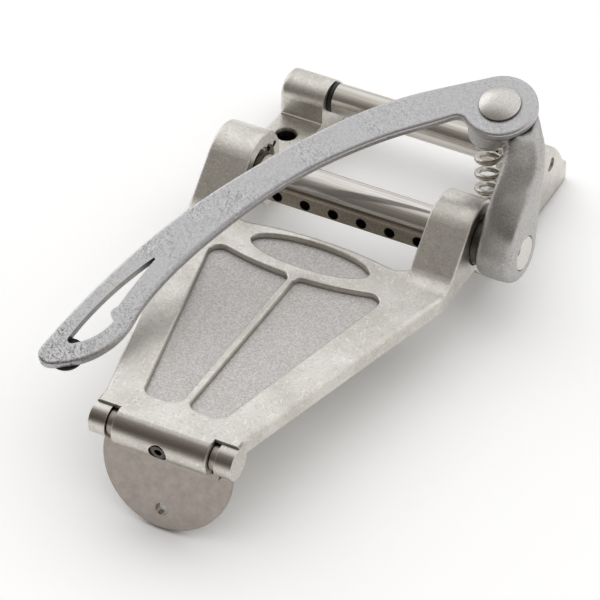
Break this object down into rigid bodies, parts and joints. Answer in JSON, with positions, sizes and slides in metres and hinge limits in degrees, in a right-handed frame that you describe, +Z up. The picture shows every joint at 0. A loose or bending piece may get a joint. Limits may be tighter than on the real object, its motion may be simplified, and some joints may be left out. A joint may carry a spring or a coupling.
{
  "type": "guitar tremolo bridge",
  "caption": "Guitar tremolo tailpiece bridge: tapered frame, sprung crank shaft that holds the strings, front roller, swinging arm and hinged tail plate.",
  "frame": {"origin": "on the mounting plane, midway between the two screw holes of the side rails", "axes": "+X to the crank side, +Y to the neck, +Z up off the guitar's top"},
  "size_m": [0.1169, 0.1988, 0.0886],
  "materials": {
    "frame_casting": "tumbled, aged nickel plate",
    "tail_sheet": "tumbled, aged nickel plate",
    "crank_casting": "tumbled, aged nickel plate",
    "arm_plate": "tumbled, mottled nickel plate",
    "polished_shaft": "ground and polished",
    "anchor_steel": "plain milled, matte",
    "bearing_steel": "ground",
    "spring_wire": "drawn wire, nickel plated",
    "satin_bolt": "satin",
    "black_screw": "black oxide",
    "bush_nylon": "moulded",
    "washer_steel": "plain",
    "bumper_rubber": "moulded"
  },
  "bodies": {
    "frame": {"base_frame": "frame_casting", "hinge_lock_screw": "black_screw", "roller_axle": "polished_shaft", "bearing_cup_left": "bearing_steel", "bearing_cup_right": "bearing_steel", "bearing_clip_left": "bearing_steel", "bearing_clip_right": "bearing_steel", "return_spring": "spring_wire"},
    "crank": {"string_shaft": "polished_shaft", "string_anchor_bar": "anchor_steel", "shaft_spacer": "anchor_steel", "crank_bracket": "crank_casting", "crank_set_screw": "black_screw", "arm_pivot_bolt": "satin_bolt", "arm_friction_washer": "washer_steel", "arm_disc_spring": "spring_wire"},
    "needles": {"needle_set_left": "bearing_steel", "needle_set_right": "bearing_steel"},
    "roller": {"front_roller": "polished_shaft", "roller_bush_left": "bush_nylon", "roller_bush_right": "bush_nylon"},
    "arm": {"tremolo_arm": "arm_plate", "arm_bush": "bush_nylon", "tip_bumper": "bumper_rubber"},
    "tail": {"tail_plate": "tail_sheet", "hinge_pin": "polished_shaft"}
  },
  "joints": [
    {"name": "crank_turn", "type": "hinge", "parent": "frame", "child": "crank", "pos_m": [0, -0.0343, 0.0179], "axis": [-1, 0, 0], "range_deg": [0, 28], "stiffness_Nm_per_rad": 8.4, "deforming": ["return_spring"]},
    {"name": "needle_roll", "type": "hinge", "parent": "frame", "child": "needles", "pos_m": [0, -0.0343, 0.0179], "axis": [-1, 0, 0], "range_deg": [0, 12.01]},
    {"name": "roller_spin", "type": "hinge", "parent": "frame", "child": "roller", "pos_m": [0, 0.0185, 0.0146], "axis": [1, 0, 0], "continuous": true},
    {"name": "arm_swing", "type": "hinge", "parent": "crank", "child": "arm", "pos_m": [0.044, -0.0151, 0.0586], "axis": [0, 0.3156, -0.9489], "range_deg": [0, 240]},
    {"name": "tail_hinge", "type": "hinge", "parent": "frame", "child": "tail", "pos_m": [0, -0.1602, 0.0068], "axis": [1, 0, 0], "range_deg": [-70, 45]}
  ],
  "couplings": [
    {"joint": "needle_roll", "follows": "crank_turn", "ratio": 0.42857}
  ]
}
